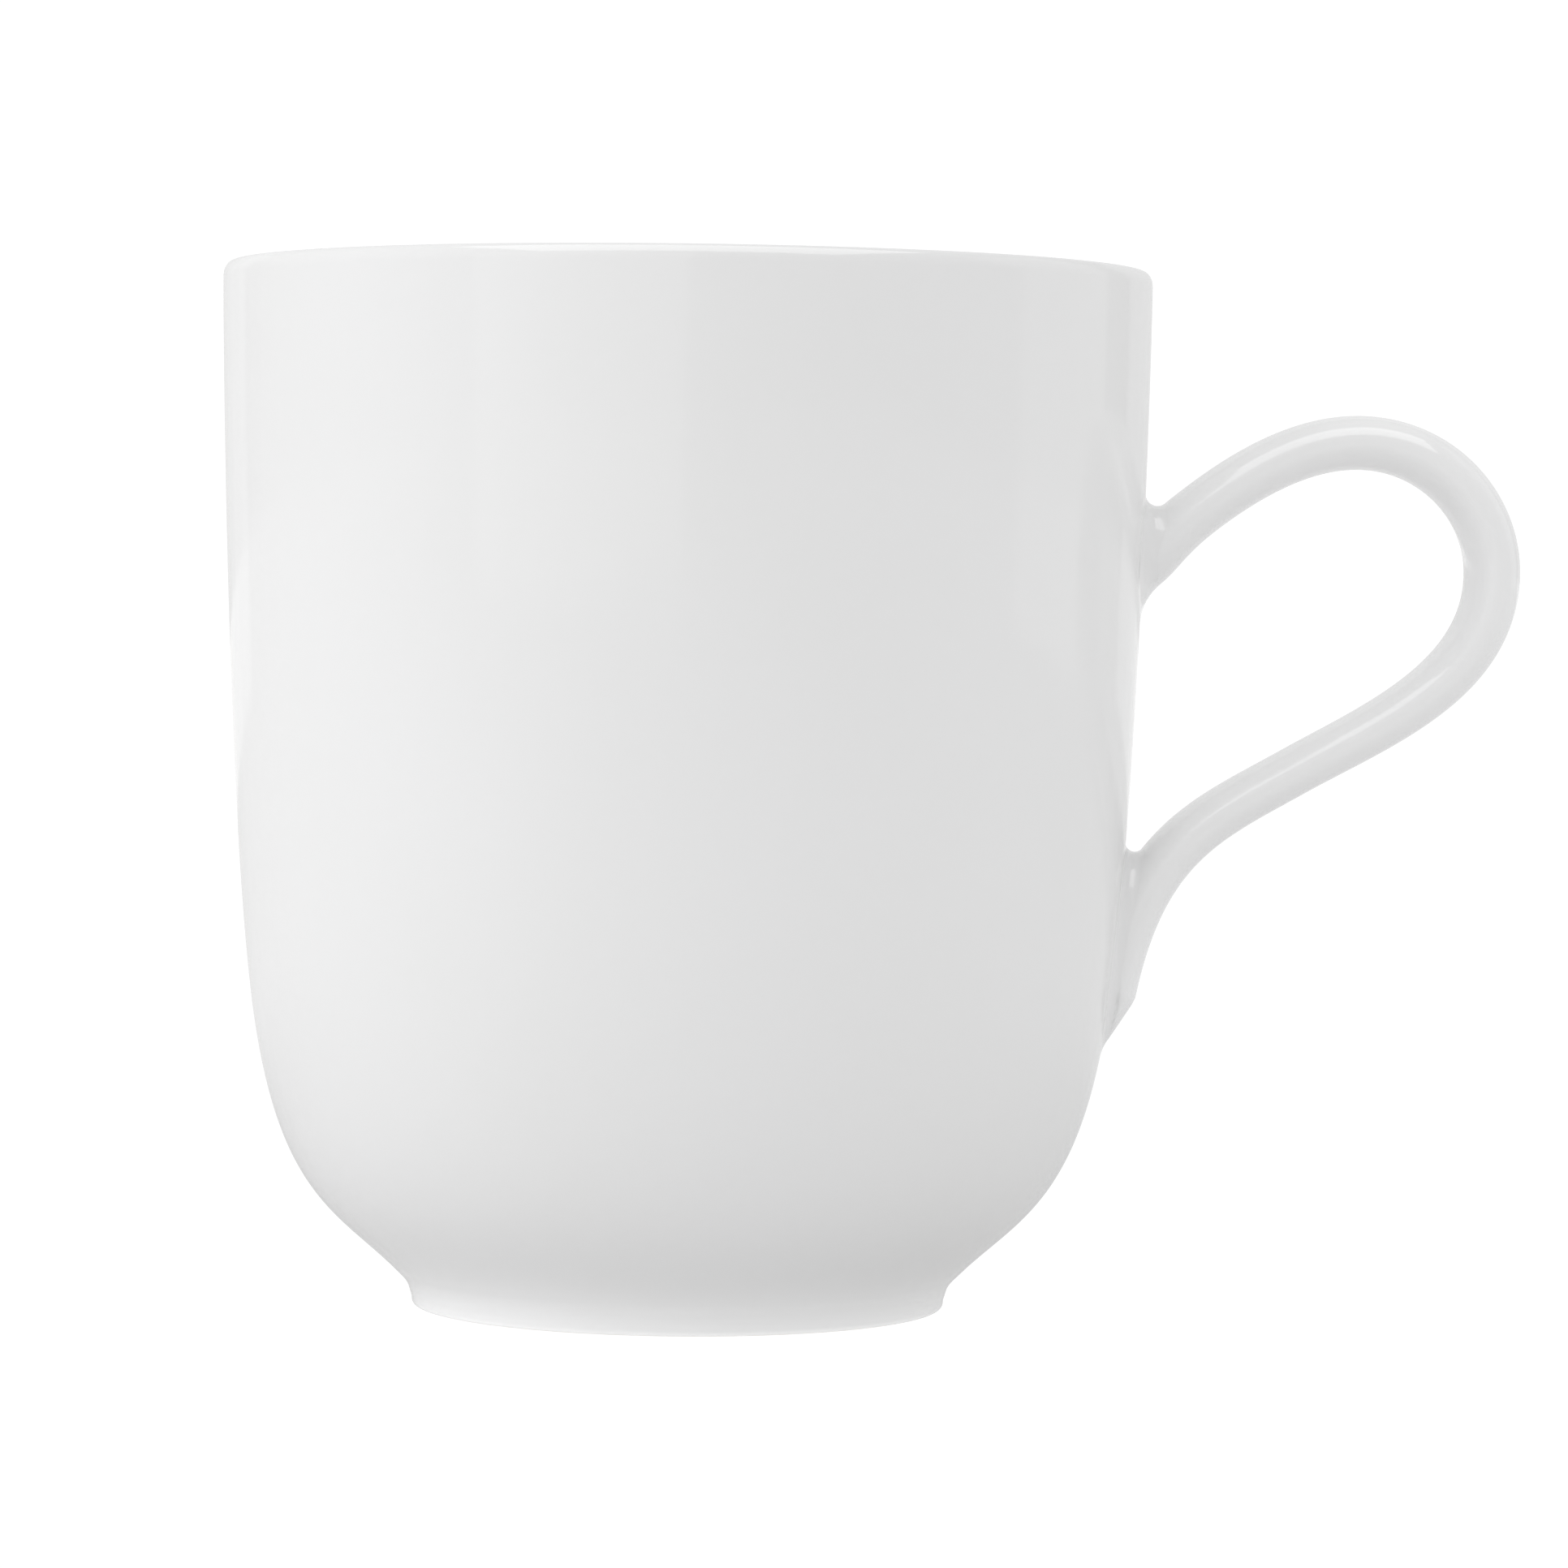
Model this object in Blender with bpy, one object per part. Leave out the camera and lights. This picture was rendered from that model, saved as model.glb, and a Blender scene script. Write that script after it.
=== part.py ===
# A ceramic mug: a turned body with a foot ring, and an ear-shaped handle that is cast by
# itself, cut to the curve of the wall and stuck on with two thin beds of slip.
# Metres, +Z up. The mug stands on z = 0, its handle points along +X, and the origin lies
# midway along its whole length, so the body's own axis is behind the origin.

import math

import bmesh
import bpy
import numpy as np

MM = 0.001

# Body, outside: radii from the body's axis, heights from the table.
MUG_HEIGHT = 93.0 * MM
RIM_RADIUS = 41.5 * MM
RIM_PULL = 5.4 * MM  # how far the wall runs straight down from the rim
SHOULDER_HEIGHT = 27.4 * MM  # where the wall starts to turn in towards the foot
SHOULDER_RADIUS = 38.45 * MM
SHOULDER_LEAN = math.radians(7.5)  # the wall's lean outwards at the shoulder
SHOULDER_PULL = 17.7 * MM  # reach of the shoulder's direction, up and down
NECK_HEIGHT = 3.4 * MM  # the belly ends here, above the foot ring
NECK_RADIUS = 25.6 * MM
NECK_SLOPE = math.radians(45.0)
NECK_PULL = 7.2 * MM

# Foot ring.
RING_TOP = 2.2 * MM  # a hollow joins the belly to the ring, down to this height
RING_LEAN = math.radians(18.0)  # the ring's side leans outwards
HOLLOW_PULLS = (0.8 * MM, 0.35 * MM)
FOOT_RADIUS = 23.9 * MM
FOOT_EDGE = 0.9 * MM  # rounding of the ring's outer edge
FOOT_RING_WIDTH = 3.1 * MM
FOOT_INNER_EDGE = 0.5 * MM
FOOT_RECESS = 2.0 * MM  # depth of the hollow under the mug
RECESS_SLOPE_WIDTH = 1.6 * MM

# Body, inside.
LIP_THICKNESS = 2.6 * MM
WALL_THICKNESS = 3.5 * MM  # at the shoulder
FLOOR_THICKNESS = 5.0 * MM
FLOOR_FLAT_RADIUS = 12.0 * MM
FLOOR_PULL = 15.0 * MM  # reach of the floor's flat direction into the rounded corner
INNER_PULL = 16.0 * MM  # reach of the shoulder's direction, inside

# Handle: its centre line runs in the plane y = 0, through five places.
HANDLE_DROP = 14.8 * MM  # rim to the top of the centre line
ARCH_OUT = 18.8 * MM  # the arch's top, outwards from the rim
GRIP_REACH = 33.5 * MM  # the handle's furthest point, outwards from the rim
GRIP_BELOW = 11.6 * MM  # these heights are measured down from the arch's top
RETURN_OUT = 13.3 * MM
RETURN_BELOW = 29.6 * MM
RETURN_HEADING = math.radians(-150.0)
ROOT_BELOW = 12.2 * MM
ROOT_BURIED = 1.9 * MM  # how far the centre line starts behind the wall's face
ROOT_HEADING = math.radians(42.0)
TAIL_BELOW = 50.5 * MM
TAIL_HEADING = math.radians(-101.0)

# The pulls say how far the centre line keeps its direction, before and after a place.
ROOT_PULL = 8.2 * MM
ARCH_PULLS = (7.8 * MM, 7.1 * MM)
GRIP_PULLS = (6.0 * MM, 9.7 * MM)
RETURN_PULLS = (8.3 * MM, 8.7 * MM)
TAIL_PULL = 13.3 * MM

# Thickness in the plane of the handle, and width across it, at the five places.
ROOT_SIZE = (6.8 * MM, 14.0 * MM)
ARCH_SIZE = (5.0 * MM, 11.0 * MM)
GRIP_SIZE = (5.1 * MM, 10.5 * MM)
RETURN_SIZE = (4.55 * MM, 10.0 * MM)
TAIL_SIZE = (4.9 * MM, 13.0 * MM)
SECTION_POWER = 2.6  # 2 is an ellipse, and more is squarer

# Joints: a bed of slip lies between the wall and each end of the handle.
SLIP_THICKNESS = 0.6 * MM
SLIP_MARGIN = 1.0 * MM  # how far the bed shows round the handle's end
SEAT_GAP = 0.3 * MM  # clearance between pieces that rest on each other

# Fineness: how many straight steps stand for each round stretch.
TURN_STEPS = 56
SIDE_STEPS = 7
BELLY_STEPS = 11
INNER_SIDE_STEPS = 5
INNER_CORNER_STEPS = 9
LIP_STEPS = 8
HOLLOW_STEPS = 3
EDGE_STEPS = 4
INNER_EDGE_STEPS = 2
COVE_STEPS = 4
SECTION_STEPS = 20
PATH_STEPS = 13  # along the handle, between two of its places
SHARP_ANGLE = math.radians(35.0)
MERGE_WITHIN = 0.001 * MM

GLAZE_WHITE = (0.86, 0.86, 0.855)
GLAZE_ROUGHNESS = 0.12
SLIP_WHITE = (0.83, 0.83, 0.82)
SLIP_ROUGHNESS = 0.35


def clear_scene():
    for item in list(bpy.data.objects):
        bpy.data.objects.remove(item, do_unlink=True)


def ceramic(name, colour, roughness):
    """A Principled material with no metal in it."""
    material = bpy.data.materials.new(name)
    material.use_nodes = True
    shader = material.node_tree.nodes["Principled BSDF"]
    shader.inputs["Base Color"].default_value = (*colour, 1.0)
    shader.inputs["Roughness"].default_value = roughness
    shader.inputs["Metallic"].default_value = 0.0
    return material


def ahead(point, heading, distance):
    """The point this far from another, in a direction given as an angle."""
    step = np.array((math.cos(heading), math.sin(heading)))
    return np.asarray(point) + distance * step


def bezier(start, start_pull, end_pull, end, steps):
    """A cubic curve from start to end, which leaves towards start_pull."""
    t = np.linspace(0.0, 1.0, steps + 1)[:, None]
    u = 1.0 - t
    corners = [np.asarray(point, float) for point in (start, start_pull, end_pull, end)]
    weights = (u**3, 3 * u * u * t, 3 * u * t * t, t**3)
    return sum(weight * corner for weight, corner in zip(weights, corners))


def arc(centre, radius, first, last, steps):
    """Points on a circle, from one angle to another."""
    angles = np.linspace(first, last, steps + 1)
    return np.stack((np.cos(angles), np.sin(angles)), axis=1) * radius + np.asarray(centre)


def joined(*stretches):
    """One outline from several, with the points that meet taken once."""
    points = np.vstack([np.atleast_2d(stretch) for stretch in stretches])
    moved = np.linalg.norm(np.diff(points, axis=0), axis=1) > MERGE_WITHIN
    return points[np.append(True, moved)]


def outer_wall():
    """The outside of the wall as (radius, height), from the rim down to the neck."""
    down = -math.pi / 2
    rim = (RIM_RADIUS, MUG_HEIGHT - LIP_THICKNESS / 2)
    shoulder = (SHOULDER_RADIUS, SHOULDER_HEIGHT)
    neck = (NECK_RADIUS, NECK_HEIGHT)
    lean = down - SHOULDER_LEAN
    side = bezier(
        rim,
        ahead(rim, down, RIM_PULL),
        ahead(shoulder, lean, -SHOULDER_PULL),
        shoulder,
        SIDE_STEPS,
    )
    belly = bezier(
        shoulder,
        ahead(shoulder, lean, SHOULDER_PULL),
        ahead(neck, NECK_SLOPE, NECK_PULL),
        neck,
        BELLY_STEPS,
    )
    return joined(side, belly)


def inner_wall():
    """The inside as (radius, height), from the middle of the floor up to the lip."""
    down = -math.pi / 2
    floor_top = FOOT_RECESS + FLOOR_THICKNESS
    flat_end = (FLOOR_FLAT_RADIUS, floor_top)
    shoulder = (SHOULDER_RADIUS - WALL_THICKNESS, SHOULDER_HEIGHT)
    lip = (RIM_RADIUS - LIP_THICKNESS, MUG_HEIGHT - LIP_THICKNESS / 2)
    lean = down - SHOULDER_LEAN
    corner = bezier(
        flat_end,
        (FLOOR_FLAT_RADIUS + FLOOR_PULL, floor_top),
        ahead(shoulder, lean, INNER_PULL),
        shoulder,
        INNER_CORNER_STEPS,
    )
    side = bezier(
        shoulder,
        ahead(shoulder, lean, -SHOULDER_PULL),
        ahead(lip, down, RIM_PULL),
        lip,
        INNER_SIDE_STEPS,
    )
    return joined((0.0, floor_top), corner, side)


def foot_outline():
    """The foot ring and the underside, from the neck down, and in to the axis."""
    neck = (NECK_RADIUS, NECK_HEIGHT)
    ring_top = (FOOT_RADIUS + math.tan(RING_LEAN) * (RING_TOP - FOOT_EDGE), RING_TOP)
    hollow = bezier(
        neck,
        ahead(neck, NECK_SLOPE, -HOLLOW_PULLS[0]),
        ahead(ring_top, math.pi / 2 - RING_LEAN, HOLLOW_PULLS[1]),
        ring_top,
        HOLLOW_STEPS,
    )
    inner = FOOT_RADIUS - FOOT_RING_WIDTH
    recess = inner - RECESS_SLOPE_WIDTH
    outer_edge = arc(
        (FOOT_RADIUS - FOOT_EDGE, FOOT_EDGE),
        FOOT_EDGE,
        0.0,
        -math.pi / 2,
        EDGE_STEPS,
    )
    inner_edge = arc(
        (inner + FOOT_INNER_EDGE, FOOT_INNER_EDGE),
        FOOT_INNER_EDGE,
        -math.pi / 2,
        -math.pi,
        INNER_EDGE_STEPS,
    )
    cove = bezier(
        (inner, FOOT_INNER_EDGE),
        (inner, FOOT_RECESS),
        (inner, FOOT_RECESS),
        (recess, FOOT_RECESS),
        COVE_STEPS,
    )
    return joined(hollow, outer_edge, inner_edge, cove, (0.0, FOOT_RECESS))


def offset_outline(outline, distance):
    """The outline moved outwards along its own normals. It runs down its outer side."""
    along = np.gradient(outline, axis=0)
    along /= np.linalg.norm(along, axis=1)[:, None]
    outwards = np.stack((-along[:, 1], along[:, 0]), axis=1)
    return outline + distance * outwards


def wall_radius(height):
    """The wall's outer radius at this height."""
    wall = outer_wall()[::-1]
    return float(np.interp(height, wall[:, 1], wall[:, 0]))


def axis_x():
    """Where the body's axis stands, so that the origin is midway along the mug."""
    widest = outer_wall()[:, 0].max()
    return (widest - (RIM_RADIUS + GRIP_REACH)) / 2


def add_object(name, mesh, material):
    item = bpy.data.objects.new(name, mesh)
    item.location.x = axis_x()
    mesh.materials.append(material)
    bpy.context.scene.collection.objects.link(item)
    return item


def turned(name, outline, material, is_ring=False):
    """A solid turned about the body's axis from an outline of (radius, height)."""
    bm = bmesh.new()
    corners = [bm.verts.new((radius, 0.0, height)) for radius, height in outline]
    pairs = list(zip(corners, corners[1:]))
    if is_ring:
        pairs.append((corners[-1], corners[0]))
    edges = [bm.edges.new(pair) for pair in pairs]
    bmesh.ops.spin(
        bm,
        geom=corners + edges,
        axis=(0.0, 0.0, 1.0),
        cent=(0.0, 0.0, 0.0),
        angle=2 * math.pi,
        steps=TURN_STEPS,
    )
    bmesh.ops.remove_doubles(bm, verts=bm.verts[:], dist=MERGE_WITHIN)
    bmesh.ops.recalc_face_normals(bm, faces=bm.faces[:])
    mesh = bpy.data.meshes.new(name)
    bm.to_mesh(mesh)
    bm.free()
    mesh.shade_smooth()
    mesh.set_sharp_from_angle(angle=SHARP_ANGLE)
    return add_object(name, mesh, material)


def handle_places():
    """The centre line's five places: point, heading, pulls before and after, and size."""
    top = MUG_HEIGHT - HANDLE_DROP
    root = top - ROOT_BELOW
    tail = top - TAIL_BELOW
    grip_out = RIM_RADIUS + GRIP_REACH - GRIP_SIZE[0] / 2
    points = (
        (wall_radius(root) - ROOT_BURIED, root),
        (RIM_RADIUS + ARCH_OUT, top),
        (grip_out, top - GRIP_BELOW),
        (RIM_RADIUS + RETURN_OUT, top - RETURN_BELOW),
        (wall_radius(tail), tail),
    )
    headings = (ROOT_HEADING, 0.0, -math.pi / 2, RETURN_HEADING, TAIL_HEADING)
    pulls = ((0.0, ROOT_PULL), ARCH_PULLS, GRIP_PULLS, RETURN_PULLS, (TAIL_PULL, 0.0))
    sizes = (ROOT_SIZE, ARCH_SIZE, GRIP_SIZE, RETURN_SIZE, TAIL_SIZE)
    return list(zip(points, headings, pulls, sizes))


def handle_path(first, last):
    """Centre line between two places as (x, z), with the section's size at each point."""
    points = []
    sizes = []
    places = handle_places()[first : last + 1]
    ease = (1.0 - np.cos(np.linspace(0.0, math.pi, PATH_STEPS + 1))) / 2
    for here, there in zip(places, places[1:]):
        start, heading, pulls, size = here
        end, end_heading, end_pulls, end_size = there
        points.append(
            bezier(
                start,
                ahead(start, heading, pulls[1]),
                ahead(end, end_heading, -end_pulls[0]),
                end,
                PATH_STEPS,
            )
        )
        sizes.append(np.outer(1.0 - ease, size) + np.outer(ease, end_size))
    points = np.vstack(points)
    sizes = np.vstack(sizes)
    kept = np.append(True, np.linalg.norm(np.diff(points, axis=0), axis=1) > MERGE_WITHIN)
    return points[kept], sizes[kept]


def handle_tube(name, material, first=0, last=4, grow=0.0):
    """The handle as a rounded strap swept along its centre line, with flat ends."""
    path, sizes = handle_path(first, last)
    along = np.gradient(path, axis=0)
    along /= np.linalg.norm(along, axis=1)[:, None]
    path[0] -= grow * along[0]
    path[-1] += grow * along[-1]
    across = np.stack((-along[:, 1], along[:, 0]), axis=1)
    angles = np.linspace(0.0, 2 * math.pi, SECTION_STEPS, endpoint=False)
    round_off = 2.0 / SECTION_POWER
    section = np.stack((np.cos(angles), np.sin(angles)), axis=1)
    section = np.sign(section) * np.abs(section) ** round_off
    halves = sizes / 2 + grow
    depth = halves[:, None, 0] * section[None, :, 0]
    width = halves[:, None, 1] * section[None, :, 1]
    x = path[:, None, 0] + depth * across[:, None, 0]
    z = path[:, None, 1] + depth * across[:, None, 1]
    points = np.stack((x, width, z), axis=2)

    bm = bmesh.new()
    rings = [[bm.verts.new(point) for point in ring] for ring in points]
    for ring, following in zip(rings, rings[1:]):
        for i in range(SECTION_STEPS):
            j = (i + 1) % SECTION_STEPS
            bm.faces.new((ring[i], ring[j], following[j], following[i]))
    bm.faces.new(rings[0])
    bm.faces.new(rings[-1])
    bmesh.ops.recalc_face_normals(bm, faces=bm.faces[:])
    mesh = bpy.data.meshes.new(name)
    bm.to_mesh(mesh)
    bm.free()
    mesh.shade_smooth()
    mesh.set_sharp_from_angle(angle=SHARP_ANGLE)
    return add_object(name, mesh, material)


def hide_cutter(item):
    item.hide_render = True
    item.display_type = "WIRE"


def boolean(item, operation, tool):
    cut = item.modifiers.new(operation.lower(), "BOOLEAN")
    cut.operation = operation
    cut.object = tool
    cut.solver = "EXACT"


def add_body(material):
    lip = arc(
        (RIM_RADIUS - LIP_THICKNESS / 2, MUG_HEIGHT - LIP_THICKNESS / 2),
        LIP_THICKNESS / 2,
        math.pi,
        0.0,
        LIP_STEPS,
    )
    outline = joined(inner_wall(), lip, outer_wall(), foot_outline())
    return turned("body", outline, material)


def add_seat_cutter(material):
    """Everything inside the wall and the bed of slip, which the handle's ends are cut to."""
    face = offset_outline(outer_wall(), SLIP_THICKNESS + 2 * SEAT_GAP)
    top = ((0.0, MUG_HEIGHT), (face[0, 0], MUG_HEIGHT))
    bottom = ((face[-1, 0], 0.0), (0.0, 0.0))
    outline = joined(top, face, bottom)
    cutter = turned("seat_cutter", outline, material)
    hide_cutter(cutter)
    return cutter


def add_slip_shell(material):
    """A shell the thickness of the slip, all round the wall, which the beds are cut from."""
    outer = offset_outline(outer_wall(), SEAT_GAP + SLIP_THICKNESS)
    inner = offset_outline(outer_wall(), SEAT_GAP)
    shell = turned("slip_shell", joined(outer, inner[::-1]), material, is_ring=True)
    hide_cutter(shell)
    return shell


def build():
    clear_scene()
    glaze = ceramic("white_glaze", GLAZE_WHITE, GLAZE_ROUGHNESS)
    handle_glaze = ceramic("white_glaze_handle", GLAZE_WHITE, GLAZE_ROUGHNESS)
    slip = ceramic("joining_slip", SLIP_WHITE, SLIP_ROUGHNESS)

    add_body(glaze)
    handle = handle_tube("handle", handle_glaze)
    boolean(handle, "DIFFERENCE", add_seat_cutter(slip))

    shell = add_slip_shell(slip)
    for name, first in (("upper_slip_joint", 0), ("lower_slip_joint", 3)):
        bed = handle_tube(name, slip, first, first + 1, SLIP_MARGIN)
        boolean(bed, "INTERSECT", shell)


build()
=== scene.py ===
# A white porcelain mug: a turned cup on a foot ring, with an ear-shaped handle stuck on.
# Metres, +Z up. The cup's axis is upright and stands behind the origin, on the -X side.

import math

import bpy
import numpy as np
from mathutils import Matrix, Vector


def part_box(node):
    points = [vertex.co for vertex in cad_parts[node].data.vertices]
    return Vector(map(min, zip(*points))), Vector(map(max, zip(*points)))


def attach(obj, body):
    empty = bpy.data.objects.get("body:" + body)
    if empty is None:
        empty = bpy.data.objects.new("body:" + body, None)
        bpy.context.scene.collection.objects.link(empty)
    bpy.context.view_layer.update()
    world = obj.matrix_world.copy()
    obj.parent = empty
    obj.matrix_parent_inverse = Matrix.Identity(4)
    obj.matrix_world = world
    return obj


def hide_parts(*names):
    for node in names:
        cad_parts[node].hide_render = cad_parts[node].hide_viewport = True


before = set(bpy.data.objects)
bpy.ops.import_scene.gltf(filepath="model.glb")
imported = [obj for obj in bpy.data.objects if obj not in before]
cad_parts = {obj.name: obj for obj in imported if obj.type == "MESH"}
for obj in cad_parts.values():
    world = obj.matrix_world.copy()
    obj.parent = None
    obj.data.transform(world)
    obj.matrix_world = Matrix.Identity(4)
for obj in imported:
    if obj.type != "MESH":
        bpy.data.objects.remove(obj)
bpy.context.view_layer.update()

mm = 0.001
cupLow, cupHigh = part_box("body")
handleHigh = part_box("handle")[1]
axisX = (cupLow.x + cupHigh.x) / 2
rimRadius = (cupHigh.y - cupLow.y) / 2
rimHeight = cupHigh.z
handleReach = handleHigh.x - axisX  # from the cup's axis
handleTop = handleHigh.z
closest = 1e-7  # points nearer to each other than this are one


def ahead(point, heading, distance):
    # the point this far away, heading given as an angle from +X towards +Z
    return (
        point[0] + distance * math.cos(heading),
        point[1] + distance * math.sin(heading),
    )


def bezier(start, startPull, endPull, end, steps):
    # cubic Bezier: (1-t)^3 a + 3(1-t)^2 t b + 3(1-t) t^2 c + t^3 d
    t = np.linspace(0.0, 1.0, steps + 1)[:, None]
    u = 1.0 - t
    a, b, c, d = (np.array(p, float) for p in (start, startPull, endPull, end))
    return u**3 * a + 3 * u * u * t * b + 3 * u * t * t * c + t**3 * d


def arc(centre, radius, first, last, steps):
    # centre + radius (cos a, sin a), a from first to last; two radii make it elliptic
    a = np.linspace(first, last, steps + 1)[:, None]
    return np.array(centre, float) + radius * np.hstack((np.cos(a), np.sin(a)))


def joined(*stretches):
    # stretches end to end, points that repeat taken once
    points = np.vstack([np.atleast_2d(s) for s in stretches])
    step = np.linalg.norm(np.diff(points, axis=0), axis=1)
    return points[np.append(True, step > closest)]


def meshFrom(name, points, faces, material, normals=None):
    # a smooth mesh of these points and faces, in place; exact normals where they are known
    mesh = bpy.data.meshes.new(name)
    mesh.from_pydata(points.tolist(), [], faces)
    mesh.materials.append(material)
    mesh.shade_smooth()
    if normals is not None:
        mesh.normals_split_custom_set_from_vertices(normals.tolist())
    mesh.update()
    piece = bpy.data.objects.new(name, mesh)
    bpy.context.scene.collection.objects.link(piece)
    return piece


def gridFaces(rows, columns, closedRows=False, flipped=False):
    # quads of a grid of rows x columns points, closed round the columns; a quad faces the
    # side that (next row) x (next column) points to, unless flipped
    last = rows if closedRows else rows - 1
    r = np.arange(last)[:, None]
    c = np.arange(columns)[None, :]
    here = r * columns
    there = ((r + 1) % rows) * columns
    nextC = (c + 1) % columns
    quads = np.stack((here + c, there + c, there + nextC, here + nextC), axis=2)
    quads = quads.reshape(-1, 4)
    return (quads[:, ::-1] if flipped else quads).tolist()


def capFaces(ringStart, columns, pole, poleFirst):
    # a fan from one ring of points to its pole, which comes before or after it in the grid
    c = np.arange(columns)
    a = ringStart + (c + 1) % columns
    b = ringStart + c
    if poleFirst:
        a, b = b, a
    return np.stack((a, b, np.full(columns, pole)), axis=1).tolist()


glazeLook = {
    "thick": (0.873, 0.873, 0.875),  # colour where the glaze lies thick, and where thin
    "thin": (0.863, 0.863, 0.862),
    "cloudScale": 26.0,  # clouds of thick and thin per metre
    "cloudDetail": 3.0,
    "cloudRange": (0.35, 0.65),  # the noise values that count as thick and thin
    "roughness": (0.05, 0.10),
    "roughnessScale": 60.0,
    "roughnessDetail": 4.0,
    "roughnessRange": (0.3, 0.7),
    "ior": 1.5,
    "waveScale": 34.0,  # slow unevenness of the wall
    "waveDepth": 0.05 * mm,
    "runScale": 150.0,  # runs of glaze, long in height
    "runStretch": 0.22,
    "runDetail": 1.0,
    "runDepth": 0.04 * mm,
    "peelScale": 520.0,  # fine orange peel
    "peelDepth": 0.004 * mm,
    "bareColour": (0.72, 0.70, 0.66),  # unglazed clay that the foot stands on
    "bareRoughness": 0.62,
    "bareBelow": 0.06 * mm,
    "bareRagged": 0.1 * mm,
    "bareRaggedScale": 900.0,
    "bareRaggedDetail": 2.0,
    "bareSoft": 0.02 * mm,
}

# painted light: the handle's glaze is a lighter copy of the cup's, standing in for light that comes
# through the thin porcelain
paintedLightHandleLook = dict(glazeLook, thick=(0.905, 0.905, 0.907), thin=(0.895, 0.895, 0.895))
# painted light: the fillets' glaze is a lighter copy too, between the cup's and the handle's, so the
# lightened handle runs into the wall
paintedLightSlipLook = dict(glazeLook, thick=(0.89, 0.89, 0.892), thin=(0.88, 0.88, 0.88))


def glazeMaterial(name, look, bareFoot=False):
    # clouds of two whites, slow changes of roughness, and three heights of bump: waves of
    # the wall, runs that are long in height, and orange peel; bare clay below the foot
    material = bpy.data.materials.new(name)
    material.use_nodes = True
    nodes = material.node_tree.nodes
    links = material.node_tree.links
    shader = nodes["Principled BSDF"]
    space = nodes.new("ShaderNodeTexCoord").outputs["Object"]

    def noise(scale, detail=0.0, vector=space):
        node = nodes.new("ShaderNodeTexNoise")
        node.inputs["Scale"].default_value = scale
        node.inputs["Detail"].default_value = detail
        links.new(vector, node.inputs["Vector"])
        return node.outputs["Fac"]

    def ranged(value, low, high, toLow, toHigh):
        node = nodes.new("ShaderNodeMapRange")
        node.inputs["From Min"].default_value = low
        node.inputs["From Max"].default_value = high
        node.inputs["To Min"].default_value = toLow
        node.inputs["To Max"].default_value = toHigh
        links.new(value, node.inputs["Value"])
        return node.outputs["Result"]

    def coloured(factor, second):
        # a mix whose first colour is set or linked by the caller
        node = nodes.new("ShaderNodeMix")
        node.data_type = "RGBA"
        node.inputs["B"].default_value = (*second, 1.0)
        links.new(factor, node.inputs["Factor"])
        return node

    def bumped(height, depth, under=None):
        node = nodes.new("ShaderNodeBump")
        node.inputs["Strength"].default_value = 1.0
        node.inputs["Distance"].default_value = depth
        links.new(height, node.inputs["Height"])
        if under is not None:
            links.new(under, node.inputs["Normal"])
        return node.outputs["Normal"]

    clouds = noise(look["cloudScale"], look["cloudDetail"])
    cloud = ranged(clouds, *look["cloudRange"], 0.0, 1.0)
    glaze = coloured(cloud, look["thin"])
    glaze.inputs["A"].default_value = (*look["thick"], 1.0)
    colour = glaze.outputs["Result"]
    patches = noise(look["roughnessScale"], look["roughnessDetail"])
    roughness = ranged(patches, *look["roughnessRange"], *look["roughness"])

    if bareFoot:
        # the glaze is wiped off up to a ragged height: Z + ragged * noise
        height = nodes.new("ShaderNodeSeparateXYZ")
        links.new(space, height.inputs["Vector"])
        ragged = nodes.new("ShaderNodeMath")
        ragged.operation = "MULTIPLY_ADD"
        ragged.inputs[1].default_value = look["bareRagged"]
        links.new(noise(look["bareRaggedScale"], look["bareRaggedDetail"]), ragged.inputs[0])
        links.new(height.outputs["Z"], ragged.inputs[2])
        edge = look["bareBelow"] + look["bareRagged"] / 2
        soft = look["bareSoft"]
        bare = ranged(ragged.outputs["Value"], edge - soft, edge + soft, 1.0, 0.0)
        clay = coloured(bare, look["bareColour"])
        links.new(colour, clay.inputs["A"])
        colour = clay.outputs["Result"]
        matt = nodes.new("ShaderNodeMix")
        links.new(bare, matt.inputs["Factor"])
        links.new(roughness, matt.inputs["A"])
        matt.inputs["B"].default_value = look["bareRoughness"]
        roughness = matt.outputs["Result"]

    tall = nodes.new("ShaderNodeMapping")
    tall.inputs["Scale"].default_value = (1.0, 1.0, look["runStretch"])
    links.new(space, tall.inputs["Vector"])
    runs = noise(look["runScale"], look["runDetail"], tall.outputs["Vector"])
    normal = bumped(noise(look["waveScale"]), look["waveDepth"])
    normal = bumped(runs, look["runDepth"], normal)
    normal = bumped(noise(look["peelScale"]), look["peelDepth"], normal)

    links.new(colour, shader.inputs["Base Color"])
    links.new(roughness, shader.inputs["Roughness"])
    links.new(normal, shader.inputs["Normal"])
    shader.inputs["IOR"].default_value = look["ior"]
    return material


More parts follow.
